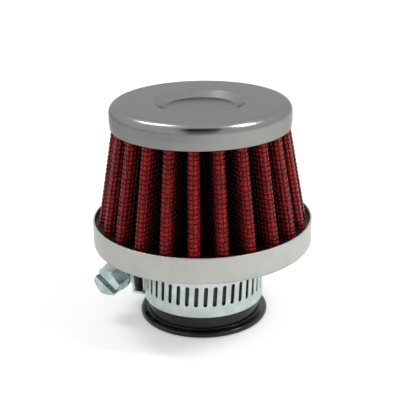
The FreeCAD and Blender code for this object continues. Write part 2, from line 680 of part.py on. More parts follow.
def make_clamp_housing():
    """Pressed arch over the screw, with shoulders over the strip and flanges down its edges."""
    housing = new_body("clamp_housing")
    arch_inner = "(thread_radius + thread_gap)"
    arch_outer = f"({arch_inner} + housing_sheet)"
    shoulder_low = f"({TAIL_HIGH} + tail_clearance)"
    shoulder_high = f"({shoulder_low} + housing_sheet)"
    side_inner = "(band_width / 2 + housing_side_gap)"
    side_outer = f"({side_inner} + housing_sheet)"
    foot = f"({BAND_OUTER} - housing_corner_drop)"
    sketch = outline(new_sketch(housing, "section", "YZ_Plane"), [
        (SCREW_LINE, f"-{arch_outer}", arch_outer, 1),
        (f"{SCREW_LINE} + {arch_outer}", 0, arch_outer, 1),
        (SCREW_LINE, arch_outer),
        (shoulder_high, arch_outer),
        (shoulder_high, side_outer),
        (foot, side_outer),
        (foot, side_inner),
        (shoulder_low, side_inner),
        (shoulder_low, arch_inner),
        (SCREW_LINE, arch_inner, arch_inner, -1),
        (f"{SCREW_LINE} + {arch_inner}", 0, arch_inner, -1),
        (SCREW_LINE, f"-{arch_inner}"),
        (shoulder_low, f"-{arch_inner}"),
        (shoulder_low, f"-{side_inner}"),
        (foot, f"-{side_inner}"),
        (foot, f"-{side_outer}"),
        (shoulder_high, f"-{side_outer}"),
        (shoulder_high, f"-{arch_outer}"),
    ])
    feature(housing, "Pad", "arch", sketch, Length="housing_length", SideType="Symmetric")
    document.recompute()

    wall = new_sketch(housing, "wall", "YZ_Plane")
    shift_sketch(wall, "0", "0", f"-{HOUSING_END}")
    outline(wall, [
        (shoulder_low, f"-{arch_outer}"),
        (SCREW_LINE, f"-{arch_outer}", arch_outer, 1),
        (f"{SCREW_LINE} + {arch_outer}", 0, arch_outer, 1),
        (SCREW_LINE, arch_outer),
        (shoulder_low, arch_outer),
    ])
    add_circle(wall, SCREW_LINE, 0, "screw_neck_radius + screw_neck_gap")
    document.recompute()
    feature(housing, "Pad", "end_wall", wall, Length="end_wall")
    document.recompute()

    hollow = new_sketch(housing, "hollow", "XY_Plane")
    add_circle(hollow, 0, 0, f"{BAND_OUTER} - housing_foot_lap")
    document.recompute()
    feature(housing, "Pocket", "feet", hollow, Length=f"3 * {side_outer}", SideType="Symmetric")
    document.recompute()
    place_on_neck(housing)
    return housing


def make_clamp_screw():
    """Slotted hexagon-head worm screw with a collar, a plain neck and a coarse thread."""
    screw = new_body("clamp_screw")

    def axis_sketch(name):
        sketch = new_sketch(screw, name, "XY_Plane")
        shift_sketch(sketch, "0", SCREW_LINE, "0")
        return sketch

    collar_back = "(-collar_reach)"
    collar_front = "(-collar_reach - collar_thickness)"
    head_end = f"({collar_front} - hex_height)"
    wall_inside = f"(end_wall - {HOUSING_END} + thread_gap)"
    shank = outline(axis_sketch("shank"), [
        (collar_front, 0),
        (collar_front, "collar_radius"),
        (collar_back, "collar_radius"),
        (collar_back, "screw_neck_radius"),
        (wall_inside, "screw_neck_radius"),
        (wall_inside, "core_radius"),
        ("tip_reach - tip_length", "core_radius"),
        ("tip_reach", "tip_radius"),
        ("tip_reach", 0),
    ])
    feature(screw, "Revolution", "shank_turned", shank, ReferenceAxis=(shank, ["H_Axis"]))
    document.recompute()

    hexagon = new_sketch(screw, "hexagon", "YZ_Plane")
    shift_sketch(hexagon, "0", "0", collar_front)
    corner_radius = "(hex_flats / sqrt(3))"
    outline(hexagon, [
        (f"{SCREW_LINE} + {corner_radius} * cos({angle})", f"{corner_radius} * sin({angle})")
        for angle in range(0, 360, 60)
    ])
    document.recompute()
    feature(screw, "Pad", "head", hexagon, Length="hex_height", Reversed=True)
    document.recompute()

    # the chamfer is turned away from the hexagon's end, out past its corners
    chamfer_cut = outline(axis_sketch("chamfer"), [
        (head_end, "hex_face_radius"),
        (f"{head_end} + hex_chamfer", "hex_flats / 2 + hex_chamfer"),
        (f"{head_end} + hex_chamfer", "hex_flats"),
        (f"{head_end} - hex_chamfer", "hex_flats"),
        (f"{head_end} - hex_chamfer", "hex_face_radius"),
    ])
    document.recompute()
    feature(screw, "Groove", "chamfer_turned", chamfer_cut, ReferenceAxis=(chamfer_cut, ["H_Axis"]))
    document.recompute()

    driver = new_sketch(screw, "driver_slot", "YZ_Plane")
    shift_sketch(driver, "0", "0", head_end)
    turn = "driver_slot_turn"

    def across_head(along, aside):
        return (f"{SCREW_LINE} + {along} * cos({turn}) - {aside} * sin({turn})",
                f"{along} * sin({turn}) + {aside} * cos({turn})")

    half = "(driver_slot_width / 2)"
    outline(driver, [
        across_head("(-hex_flats)", f"(-{half})"),
        across_head("hex_flats", f"(-{half})"),
        across_head("hex_flats", half),
        across_head("(-hex_flats)", half),
    ])
    document.recompute()
    feature(screw, "Pocket", "driver_slot_cut", driver, Length="driver_slot_depth", Reversed=True)
    document.recompute()

    thread = outline(axis_sketch("thread"), [
        ("-thread_start - thread_root / 2", "core_radius - thread_crest / 2"),
        ("-thread_start + thread_root / 2", "core_radius - thread_crest / 2"),
        ("-thread_start + thread_crest / 2", "thread_radius"),
        ("-thread_start - thread_crest / 2", "thread_radius"),
    ])
    document.recompute()
    helix = feature(screw, "AdditiveHelix", "worm", thread, Mode="pitch-turns-angle",
                    Pitch="thread_pitch", Turns="thread_turns")
    helix.ReferenceAxis = (thread, ["H_Axis"])
    document.recompute()
    place_on_neck(screw)
    return screw


def failed_objects():
    """Names of document objects that did not recompute, or whose sketch isn't solved."""
    return [item.Name for item in document.Objects if {"Invalid", "Error"} & set(item.State)]


pack_envelope = make_pack_envelope()
PIECES = [
    make_top_cap(),
    make_upper_potting(pack_envelope),
    *make_element(),
    make_seam_clip(),
    make_lower_potting(pack_envelope),
    make_base_cup(),
    make_rubber_neck(),
    make_clamp_band(),
    make_band_tail(),
    make_clamp_saddle(),
    make_clamp_housing(),
    make_clamp_screw(),
]
document.recompute()

if failed_objects():
    raise RuntimeError(f"did not recompute: {failed_objects()}")
for piece in PIECES:
    if piece.Shape.isNull() or not piece.Shape.isValid() or piece.Shape.Volume <= 0:
        raise RuntimeError(f"{piece.Label} has no valid solid")

os.makedirs("parts", exist_ok=True)
for piece in PIECES:
    piece.Shape.exportStep(f"parts/{piece.Label}.step")
    print(f"{piece.Label}: {len(piece.Shape.Solids)} solid(s), {piece.Shape.Volume:.1f} mm3")
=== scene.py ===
"""The looks of a small clamp-on pleated air filter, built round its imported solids."""

import math

import bmesh
import bpy
from mathutils import Matrix, Vector


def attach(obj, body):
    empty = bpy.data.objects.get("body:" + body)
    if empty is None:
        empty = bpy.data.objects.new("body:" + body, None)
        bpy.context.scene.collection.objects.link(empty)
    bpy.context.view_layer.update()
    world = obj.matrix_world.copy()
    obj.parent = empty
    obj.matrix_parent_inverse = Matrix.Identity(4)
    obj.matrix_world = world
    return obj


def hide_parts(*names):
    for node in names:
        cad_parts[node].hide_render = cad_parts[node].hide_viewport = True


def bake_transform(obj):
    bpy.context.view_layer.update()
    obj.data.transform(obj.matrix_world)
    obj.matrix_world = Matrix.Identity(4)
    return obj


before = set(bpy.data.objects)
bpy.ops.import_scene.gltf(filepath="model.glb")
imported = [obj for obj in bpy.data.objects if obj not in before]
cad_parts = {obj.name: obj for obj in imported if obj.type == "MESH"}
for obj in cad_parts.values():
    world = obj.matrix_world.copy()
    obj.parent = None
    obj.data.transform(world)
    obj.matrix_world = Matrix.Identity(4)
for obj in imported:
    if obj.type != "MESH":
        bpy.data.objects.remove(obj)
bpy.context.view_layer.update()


# Rubber neck. Moulded nitrile sleeve, 31.4 mm outside, with a round bead at the mouth and a flange that
# holds it in the base cup. It comes out of the mould glossy, with a faint bloom on the wall above the bead.
MM = 0.001


class Plug:
    """One output of a node; arithmetic on it adds the Math node that does the sum."""

    def __init__(self, graph, socket):
        self.graph = graph
        self.socket = socket

    def also(self, name):
        """Another output of the same node."""
        return Plug(self.graph, self.socket.node.outputs[name])

    def maths(self, operation, *values):
        return self.graph.add("ShaderNodeMath", {"operation": operation}, dict(enumerate(values)))

    def __add__(self, other):
        return self.maths("ADD", self, other)

    def __radd__(self, other):
        return self.maths("ADD", other, self)

    def __sub__(self, other):
        return self.maths("SUBTRACT", self, other)

    def __rsub__(self, other):
        return self.maths("SUBTRACT", other, self)

    def __mul__(self, other):
        return self.maths("MULTIPLY", self, other)

    def __rmul__(self, other):
        return self.maths("MULTIPLY", other, self)

    def __truediv__(self, other):
        return self.maths("DIVIDE", self, other)

    def __rtruediv__(self, other):
        return self.maths("DIVIDE", other, self)

    def __pow__(self, other):
        return self.maths("POWER", self, other)

    def __mod__(self, other):
        return self.maths("FLOORED_MODULO", self, other)

    def whole(self):
        return self.maths("FLOOR", self)

    def sine(self):
        return self.maths("SINE", self)


class Graph:
    """A node tree that is filled one node at a time: settings first, then values and links."""

    def __init__(self, tree):
        self.tree = tree

    def add(self, kind, settings=None, values=None, output=0):
        """One output of a new node of this kind."""
        node = self.tree.nodes.new(kind)
        for name, value in (settings or {}).items():
            setattr(node, name, value)
        for name, value in (values or {}).items():
            if isinstance(value, Plug):
                self.tree.links.new(value.socket, node.inputs[name])
            else:
                node.inputs[name].default_value = value
        return Plug(self, node.outputs[output])


class Finish(Graph):
    """A surface finish, on the object's own coordinates."""

    def __init__(self, name, **fixed):
        self.material = bpy.data.materials.new(name)
        self.material.use_nodes = True
        super().__init__(self.material.node_tree)
        self.shader = self.tree.nodes["Principled BSDF"]
        for socket, value in fixed.items():
            self.shader.inputs[socket.replace("_", " ")].default_value = value
        self.place = self.add("ShaderNodeTexCoord", output="Object")

    def drive(self, socket, plug):
        """Let the plug set one of the shader's values."""
        self.tree.links.new(plug.socket, self.shader.inputs[socket])

    def stretched(self, x, y, z):
        """Coordinates on which a pattern comes out this many times finer along each axis."""
        return self.add("ShaderNodeMapping", None, {"Vector": self.place, "Scale": (x, y, z)})

    def noise(self, size, detail=2.0, place=None):
        """Cloudy variation from 0 to 1, with patches of about the given size in millimetres."""
        cloud = self.add(
            "ShaderNodeTexNoise",
            None,
            {"Vector": place or self.place, "Scale": 1 / (size * MM), "Detail": detail},
        )
        usual_low, usual_high = 0.35, 0.65
        return self.spread(cloud, usual_low, usual_high)

    def spread(self, plug, low, high, to_low=0.0, to_high=1.0):
        """The plug's values from low to high, stretched over to_low to to_high and held there."""
        return self.add("ShaderNodeMapRange", None, {0: plug, 1: low, 2: high, 3: to_low, 4: to_high})

    def tint(self, factor, first, second):
        """The first colour where the factor is 0, the second where it is 1."""
        return self.add("ShaderNodeMix", {"data_type": "RGBA"}, {0: factor, 6: first, 7: second}, output=2)

    def bump(self, height, depth):
        """A relief of the given depth in millimetres."""
        return self.add("ShaderNodeBump", None, {"Height": height, "Distance": depth * MM, "Strength": 1.0})

    def from_axes(self):
        """The place along X, Y and Z, in metres."""
        across = self.add("ShaderNodeSeparateXYZ", None, {0: self.place})
        return across, across.also("Y"), across.also("Z")

    def from_middle(self):
        """The distance from the filter's axis, in metres."""
        x, y, z = self.from_axes()
        return (x * x + y * y) ** 0.5

    def height(self):
        """The height above the neck's mouth, in metres."""
        return self.from_axes()[2]


def paint(red, green, blue):
    """A colour from its usual 0 to 255 values, as the shader takes it."""
    shares = [value / 255 for value in (red, green, blue)]
    light = [((share + 0.055) / 1.055) ** 2.4 if share > 0.04 else share / 12.92 for share in shares]
    return (*light, 1.0)


def rounded(corners, steps=6):
    """The corners (radius, height, rounding) of a closed outline in millimetres, as points with arcs."""
    points = []
    count = len(corners)
    for number, (radius, height, rounding) in enumerate(corners):
        corner = Vector((radius, height))
        before = (Vector(corners[number - 1][:2]) - corner).normalized()
        after = (Vector(corners[(number + 1) % count][:2]) - corner).normalized()
        if not rounding:
            points.append(corner)
            continue
        half = before.angle(after) / 2
        reach = rounding / math.tan(half)
        centre = corner + (before + after).normalized() * (rounding / math.sin(half))
        start = corner + before * reach - centre
        sweep = start.angle_signed(corner + after * reach - centre)
        hold = rounding / 16  # a point just off each end of the arc keeps the flats flat in smooth shading
        points.append(centre + start + before * hold)
        for step in range(steps + 1):
            turn = Matrix.Rotation(-sweep * step / steps, 2)
            points.append(centre + turn @ start)
        points.append(corner + after * (reach + hold))
    return points


def set_out(name, data):
    """A new object in the scene, at the origin."""
    item = bpy.data.objects.new(name, data)
    bpy.context.scene.collection.objects.link(item)
    return item


def closed_mesh(name, form):
    """A smooth mesh of the form, with its faces turned outwards."""
    bmesh.ops.recalc_face_normals(form, faces=form.faces)
    mesh = bpy.data.meshes.new(name)
    form.to_mesh(mesh)
    form.free()
    mesh.shade_smooth()
    return mesh


def joined(name, mesh, finish):
    """A new piece from a mesh, with its finish as its only material."""
    piece = set_out(name, mesh)
    mesh.materials.clear()
    mesh.materials.append(finish.material)
    return piece


def turned(corners, steps=200):
    """A closed solid of revolution about the filter's axis."""
    form = bmesh.new()
    rings = []
    for radius, height in rounded(corners):
        if radius == 0:
            rings.append([form.verts.new((0, 0, height * MM))])
            continue
        rings.append([
            form.verts.new((
                radius * MM * math.cos(2 * math.pi * step / steps),
                radius * MM * math.sin(2 * math.pi * step / steps),
                height * MM,
            ))
            for step in range(steps)
        ])
    for first, second in zip(rings, rings[1:] + rings[:1]):
        for step in range(steps):
            corner_loop = [
                first[step % len(first)],
                first[(step + 1) % len(first)],
                second[(step + 1) % len(second)],
                second[step % len(second)],
            ]
            unique = list(dict.fromkeys(corner_loop))
            if len(unique) > 2:
                form.faces.new(unique)
    return closed_mesh("turned", form)


bore_radius = 12.5
neck_radius = 15.7
bead_radius = 17.69
bead_height = 1.6
neck_length = 21.4
cup_sheet = 0.5
cup_floor = neck_length + cup_sheet
seat_radius = neck_radius - 1
flange_radius = 17.0
flange_top = cup_floor + 1.8

rubber = Finish("moulded_rubber", Specular_IOR_Level=0.4)
rubber_bloom = rubber.noise(6.0, 4.0)
rubber.drive("Base Color", rubber.tint(rubber_bloom, paint(13, 13, 12), paint(17, 18, 16)))
above_bead = rubber.spread(rubber.height(), (bead_height + 0.1) * MM, (bead_height + 0.6) * MM)
rubber.drive("Roughness", 0.06 + 0.03 * rubber.noise(4.0, 3.0) + 0.12 * above_bead)
rubber.drive("Normal", rubber.bump(rubber.noise(0.8, 2.0), 0.002))

neck = joined(
    "rubber_neck_moulding",
    turned([
        (bore_radius, 0, 0.4),
        (bead_radius, 0, 0.7),
        (bead_radius, bead_height, 0.7),
        (neck_radius, bead_height, 0.25),
        (neck_radius, neck_length, 0.2),
        (seat_radius, neck_length, 0.05),
        (seat_radius, cup_floor, 0.05),
        (flange_radius, cup_floor, 0.2),
        (flange_radius, flange_top, 0.4),
        (bore_radius, flange_top, 0.6),
    ]),
    rubber,
)
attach(neck, "filter_body")
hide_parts("rubber_neck")


# Base cup. Half-millimetre sheet pressed into a shallow cup round the neck and left in satin metal, with its
# sheared rim showing. The rubber is moulded round the edge of its hole.
cup_radius = 29.6
cup_depth = 7.2
cup_rim = neck_length + cup_depth
cup_hole = seat_radius + 0.02

satin_metal = Finish("satin_pressed_metal", Metallic=1.0)
drawn_lines = satin_metal.noise(0.5, 3.0, satin_metal.stretched(1.0, 1.0, 0.12))
handling = satin_metal.noise(5.0, 3.0)
satin_metal.drive("Base Color", satin_metal.tint(handling, paint(176, 177, 171), paint(185, 185, 180)))
satin_metal.drive("Roughness", 0.42 + 0.08 * drawn_lines + 0.05 * handling)
satin_metal.drive("Normal", satin_metal.bump(drawn_lines, 0.01))

cup = joined(
    "base_cup_pressing",
    turned([
        (cup_hole, neck_length, 0.1),
        (cup_radius, neck_length, 1.0),
        (cup_radius, cup_rim, 0.2),
        (cup_radius - cup_sheet, cup_rim, 0.12),
        (cup_radius - cup_sheet, cup_floor, 0.5),
        (cup_hole, cup_floor, 0.1),
    ]),
    satin_metal,
)
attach(cup, "filter_body")
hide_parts("base_cup")


# Potting. Black polyurethane poured round both ends of the pleats, which it seals and holds in the cup and
# the cap. It sets with a dull, slightly uneven skin.
def dressed(node, finish):
    """A carried-over solid in a better finish."""
    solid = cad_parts[node]
    solid.data.materials.clear()
    solid.data.materials.append(finish.material)


potting = Finish("poured_polyurethane", Specular_IOR_Level=0.25)
potting.drive("Base Color", potting.tint(potting.noise(2.0, 3.0), paint(10, 9, 9), paint(22, 17, 16)))
potting.drive("Roughness", potting.spread(potting.noise(3.0), 0.0, 1.0, 0.4, 0.6))
potting.drive("Normal", potting.bump(potting.noise(1.2, 3.0), 0.03))
dressed("lower_potting", potting)
dressed("upper_potting", potting)


# Pleated element. Twenty-three pleats of red-dyed, oiled cotton gauze between two wire screens. The outer
# screen is woven from coated wire, which fills and rounds each crossing so that it stands up as a bead.
pleat_count = 23
first_ridge = math.radians(-94.9)
pleat_foot = cup_rim - 4.2
pleat_head = pleat_foot + 33.3
folds_at_rim = 28.0
folds_at_skirt = 23.5
cap_rim = cup_rim + 25.4
fold_lean = (folds_at_rim - folds_at_skirt) / (cap_rim - cup_rim)
ridge_bend = 0.9
valley_bend = 0.8
half_pack = 0.635
pleat_depth = 8.5
wire_height = 0.15
wire_width = 0.43
bead_rise = 0.14
bead_sides = 6
# Places along a bead that is 1 long, each with the wire's share of its full size there.
bead_profile = ((-0.56, 0.5), (-0.36, 0.95), (0.0, 1.0), (0.36, 0.95), (0.56, 0.5))
crossings_across = 20
crossings_up = 24
lowest_row = pleat_foot + 2.4
highest_row = pleat_head - 2.5


def pleat_line(height, offset, steps=24):
    """One pleat, from valley to valley over its ridge, as points at one height.
    The line lies the given distance outside the middle of the pleated pack."""
    ridge_circle = folds_at_rim - fold_lean * (height - cup_rim) - ridge_bend - half_pack
    half_pleat = math.pi / pleat_count
    ridge = Vector((ridge_circle, 0))
    valley = Vector((math.cos(half_pleat), math.sin(half_pleat))) * (ridge_circle - pleat_depth)
    outer = ridge_bend + offset
    inner = valley_bend - offset
    between = valley - ridge
    facing = math.atan2(between.y, between.x) - math.acos((outer + inner) / between.length)
    half = []
    for step in range(steps + 1):
        angle = facing * step / steps
        half.append(ridge + outer * Vector((math.cos(angle), math.sin(angle))))
    wall_end = valley - inner * Vector((math.cos(facing), math.sin(facing)))
    for step in range(1, steps):
        half.append(half[steps].lerp(wall_end, step / steps))
    for step in range(steps + 1):
        angle = facing + math.pi + (half_pleat - facing) * step / steps
        half.append(valley + inner * Vector((math.cos(angle), math.sin(angle))))
    mirrored = [Vector((point.x, -point.y)) for point in reversed(half[1:])]
    return [Vector((point.x * MM, point.y * MM, height * MM)) for point in mirrored + half]


def line_curve(name, points):
    """A bent line through the points, for Geometry Nodes to follow."""
    curve = bpy.data.curves.new(name, "CURVE")
    curve.dimensions = "3D"
    spline = curve.splines.new("POLY")
    spline.points.add(len(points) - 1)
    for spot, point in zip(spline.points, points):
        spot.co = (*point, 1.0)
    return set_out(name, curve)


def skin(form, first, second):
    """Faces all round between two loops with the same number of points."""
    for corners in zip(first, first[1:] + first[:1], second[1:] + second[:1], second):
        form.faces.new(corners)


def wire_bead():
    """One visible length of wire, one crossing long, that dips under its neighbours at both ends."""
    form = bmesh.new()
    rings = []
    for station, share in bead_profile:
        middle = bead_rise * math.cos(math.pi * station)
        rings.append([
            form.verts.new((
                station * MM,
                wire_width * share * math.cos(2 * math.pi * side / bead_sides) * MM,
                (middle + wire_height * share * math.sin(2 * math.pi * side / bead_sides)) * MM,
            ))
            for side in range(bead_sides)
        ])
    for first, second in zip(rings, rings[1:]):
        skin(form, first, second)
    form.faces.new(rings[0])
    form.faces.new(reversed(rings[-1]))
    return set_out("wire_bead", closed_mesh("wire_bead", form))


class Recipe(Graph):
    """A Geometry Nodes tree with named inputs, run on an empty mesh to give a plain mesh."""

    def __init__(self, name):
        super().__init__(bpy.data.node_groups.new(name, "GeometryNodeTree"))
        self.tree.interface.new_socket("Geometry", in_out="OUTPUT", socket_type="NodeSocketGeometry")
        self.given = self.tree.nodes.new("NodeGroupInput")
        self.sockets = {}

    def ask(self, name, kind, value=None):
        """A named input, and the plug that carries it."""
        socket = self.tree.interface.new_socket(name, in_out="INPUT", socket_type="NodeSocket" + kind)
        if value is not None:
            socket.default_value = value
        self.sockets[name] = socket.identifier
        return Plug(self, self.given.outputs[name])

    def finish(self, geometry, finish):
        """Realised, with its material, as the tree's result."""
        real = self.add("GeometryNodeRealizeInstances", None, {"Geometry": geometry})
        coated = self.add("GeometryNodeSetMaterial", None, {"Geometry": real, "Material": finish})
        result = self.tree.nodes.new("NodeGroupOutput")
        self.tree.links.new(coated.socket, result.inputs["Geometry"])

    def make(self, **values):
        """The plain mesh that the tree gives for these inputs."""
        holder = set_out("holder", bpy.data.meshes.new("holder"))
        modifier = holder.modifiers.new("recipe", "NODES")
        modifier.node_group = self.tree
        for name, value in values.items():
            modifier[self.sockets[name.replace("_", " ")]] = value
        bpy.context.view_layer.update()
        evaluated = holder.evaluated_get(bpy.context.evaluated_depsgraph_get())
        mesh = bpy.data.meshes.new_from_object(evaluated)
        bpy.data.objects.remove(holder)
        return mesh


weave = Recipe("woven_screen")
foot_line = weave.ask("Foot line", "Object")
head_line = weave.ask("Head line", "Object")
bead = weave.ask("Bead", "Object")
across = weave.ask("Across", "Int", crossings_across)
up = weave.ask("Up", "Int", crossings_up)
first_pleat = weave.ask("First pleat", "Int", 0)
pleats_here = weave.ask("Pleats here", "Int", 7)
pleat_turn = weave.ask("Pleat turn", "Float", 2 * math.pi / pleat_count)
start_turn = weave.ask("Start turn", "Float", first_ridge)
low_share = weave.ask("Low share", "Float", 0.0)
high_share = weave.ask("High share", "Float", 1.0)
across_scale = weave.ask("Across scale", "Float", 1.0)
up_scale = weave.ask("Up scale", "Float", 1.0)
weave_seed = weave.ask("Seed", "Int", 3)
weave_finish = weave.ask("Finish", "Material")

row_length = across * pleats_here
spots = weave.add("GeometryNodePoints", None, {"Count": row_length * up})
index = weave.add("GeometryNodeInputIndex")
hair = 0.0001  # lifts a whole number of rows or pleats off the step below it
row = (index / row_length + hair).whole()
in_row = index % row_length
pleat = (in_row / across + hair).whole()
column = in_row % across
share_across = (column + 0.5) / across
share_up = low_share + (high_share - low_share) * ((row + 0.5) / up)


def along(line):
    """The place and direction on a line at the crossing's share of its length."""
    curve = weave.add("GeometryNodeObjectInfo", None, {"Object": line}, output="Geometry")
    place = weave.add(
        "GeometryNodeSampleCurve",
        {"mode": "FACTOR"},
        {"Curves": curve, "Factor": share_across},
        output="Position",
    )
    return place, place.also("Tangent")


def vector_mix(first, second):
    """The vector between two, at the crossing's share of the way up."""
    return weave.add("ShaderNodeMix", {"data_type": "VECTOR"}, {0: share_up, 4: first, 5: second}, output=1)


def vector_step(operation, first, second):
    return weave.add("ShaderNodeVectorMath", {"operation": operation}, {0: first, 1: second})


foot, foot_direction = along(foot_line)
head, head_direction = along(head_line)
turn = start_turn + pleat_turn * (pleat + first_pleat)


def swung(vector):
    """A vector turned about the filter's axis to its own pleat."""
    return weave.add("ShaderNodeVectorRotate", {"rotation_type": "Z_AXIS"}, {"Vector": vector, "Angle": turn})


crossing = swung(vector_mix(foot, head))
sideways = swung(vector_mix(foot_direction, head_direction))
upward = swung(vector_step("SUBTRACT", head, foot))
outward = vector_step("CROSS_PRODUCT", sideways, upward)
over = (row + column + pleat * across) % 2.0
lie = weave.add("GeometryNodeSwitch", {"input_type": "VECTOR"}, {0: over, 1: upward, 2: sideways})
aimed = weave.add(
    "FunctionNodeAxesToRotation",
    {"primary_axis": "Z", "secondary_axis": "X"},
    {"Primary Axis": outward, "Secondary Axis": lie},
)
tone = weave.add(
    "FunctionNodeRandomValue",
    {"data_type": "FLOAT"},
    {2: 0.0, 3: 1.0, "Seed": weave_seed},
    output=1,
)
length_scale = up_scale + (across_scale - up_scale) * over
width_scale = across_scale + (up_scale - across_scale) * over
bead_size = weave.add("ShaderNodeCombineXYZ", None, {0: length_scale, 1: width_scale, 2: 1.0})
placed = weave.add("GeometryNodeSetPosition", None, {"Geometry": spots, "Position": crossing})
bead_mesh = weave.add("GeometryNodeObjectInfo", None, {"Object": bead}, output="Geometry")
beads = weave.add(
    "GeometryNodeInstanceOnPoints",
    None,
    {"Points": placed, "Instance": bead_mesh, "Rotation": aimed, "Scale": bead_size},
)
toned = weave.add(
    "GeometryNodeStoreNamedAttribute",
    {"data_type": "FLOAT", "domain": "INSTANCE"},
    {"Geometry": beads, "Name": "tone", "Value": tone},
)
weave.finish(toned, weave_finish)


def painted_shade_between_folds(finish, near, far):
    """Painted shade between the folds: 0 at their ridges, 1 deep between them, from this near to this far in,
    in millimetres.
    """
    fold_edge = folds_at_rim * MM - fold_lean * (finish.height() - cup_rim * MM)
    return finish.spread(fold_edge - finish.from_middle(), near * MM, far * MM)


coated_wire = Finish("red_coated_wire", Specular_IOR_Level=0.3)
bead_tone = coated_wire.add("ShaderNodeAttribute", {"attribute_name": "tone"}, output="Fac")
ridge_red = coated_wire.tint(bead_tone, paint(98, 3, 8), paint(154, 12, 19))
# Deep between the folds the wire's colour goes nearly black: painted shade.
wire_painted_shade = painted_shade_between_folds(coated_wire, 0.8, 3.6)
coated_wire.drive("Base Color", coated_wire.tint(wire_painted_shade, ridge_red, paint(40, 8, 9)))
coated_wire.drive("Roughness", 0.17 + 0.12 * bead_tone)

gauze = Finish("oiled_cotton_gauze", Roughness=0.7, Specular_IOR_Level=0.25)
gauze_red = gauze.tint(gauze.noise(0.6, 3.0), paint(130, 5, 9), paint(156, 8, 12))
# Deep between the folds the gauze's colour goes nearly black: painted shade.
gauze_painted_shade = painted_shade_between_folds(gauze, 0.5, 3.5)
gauze.drive("Base Color", gauze.tint(gauze_painted_shade, gauze_red, paint(20, 5, 5)))
gauze.drive("Normal", gauze.bump(gauze.noise(0.25, 3.0), 0.04))
for layer in range(1, 5):
    dressed(f"gauze_layer_{layer}", gauze)


def length_of(points):
    """The length of the line through the points."""
    return sum((b - a).length for a, b in zip(points, points[1:]))


screen_offset = half_pack - wire_height - bead_rise
foot_points = pleat_line(pleat_foot, screen_offset)
foot_length = length_of(foot_points) / MM
foot_bend = line_curve("pleat_at_foot", foot_points)
head_bend = line_curve("pleat_at_head", pleat_line(pleat_head, screen_offset))
bead_holder = wire_bead()
pleat_height = pleat_head - pleat_foot
rows_from = (lowest_row - pleat_foot) / pleat_height
rows_to = (highest_row - pleat_foot) / pleat_height
row_gap = (highest_row - lowest_row) / crossings_up
# Each side's name, first pleat and number of pleats.
sides = (("front", 20, 6), ("right", 3, 6), ("back", 9, 6), ("left", 15, 5))
for side, first, count in sides:
    screen = joined(
        f"woven_screen_{side}",
        weave.make(
            Foot_line=foot_bend,
            Head_line=head_bend,
            Bead=bead_holder,
            First_pleat=first,
            Pleats_here=count,
            Low_share=rows_from,
            High_share=rows_to,
            Across_scale=foot_length / crossings_across,
            Up_scale=row_gap,
            Finish=coated_wire.material,
        ),
        coated_wire,
    )
    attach(screen, "filter_body")
    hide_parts("outer_wire_screen")
for helper in (foot_bend, head_bend, bead_holder):
    bpy.data.objects.remove(helper)

galvanised = Finish("galvanised_wire", Metallic=1.0, Roughness=0.4)
inner_wire_pitch = 1.2
inner_wires = (galvanised.height() * (2 * math.pi / (inner_wire_pitch * MM))).sine()
dull_spots = galvanised.noise(1.0, 2.0)
galvanised.drive("Base Color", galvanised.tint(dull_spots, paint(120, 122, 120), paint(160, 162, 158)))
galvanised.drive("Normal", galvanised.bump(inner_wires, 0.1))
dressed("inner_wire_screen", galvanised)

clip_metal = Finish("seam_clip_steel", Metallic=1.0, Roughness=0.35)
clip_stain = clip_metal.noise(1.5, 3.0)
clip_metal.drive("Base Color", clip_metal.tint(clip_stain, paint(150, 150, 148), paint(185, 185, 182)))
clip_metal.drive("Normal", clip_metal.bump(clip_metal.noise(0.8, 3.0), 0.02))
dressed("seam_clip", clip_metal)


# Top cap. One pressing of thin bright steel, polished all over, with a big outside bend, a shallow round
# recess and a short skirt. The recess is left bare.
cap_radius = 24.0
cap_top = cap_rim + 6.4
cap_sheet = 0.4
cap_inner = cap_radius - cap_sheet
skirt_bend = 2.0
skirt_draw = 0.16
top_draw = 0.05
recess_radius = 12.4
recess_floor_radius = 9.6
recess_depth = 1.65
recess_floor = cap_top - recess_depth

bright_steel = Finish("polished_pressed_steel", Metallic=1.0, Specular_Tint=(0.63, 0.63, 0.63, 1))
rubbed = bright_steel.noise(4.0, 4.0)
draw_marks = bright_steel.noise(0.35, 3.0, bright_steel.stretched(1.0, 1.0, 0.15))
bright_steel.drive("Base Color", bright_steel.tint(rubbed, paint(133, 133, 131), paint(137, 137, 134)))
bright_steel.drive("Roughness", 0.2 + 0.05 * rubbed)
bright_steel.drive("Normal", bright_steel.bump(draw_marks, 0.0006))

cap = joined(
    "top_cap_pressing",
    turned([
        (0, recess_floor, 0),
        (recess_floor_radius, recess_floor, 0.5),
        (recess_radius, cap_top, 1.2),
        (cap_radius - top_draw, cap_top, 2.4),
        (cap_radius, cap_rim + skirt_bend, 6.0),
        (cap_radius - skirt_draw, cap_rim, 0.12),
        (cap_inner - skirt_draw, cap_rim, 0.1),
        (cap_inner, cap_rim + skirt_bend, 0),
        (cap_inner - top_draw, cap_top - cap_sheet, 2.0),
        (recess_radius + cap_sheet * 0.5, cap_top - cap_sheet, 0.2),
        (recess_floor_radius + cap_sheet * 0.4, recess_floor - cap_sheet, 0.3),
        (0, recess_floor - cap_sheet, 0),
    ]),
    bright_steel,
)
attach(cap, "filter_body")
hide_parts("top_cap")


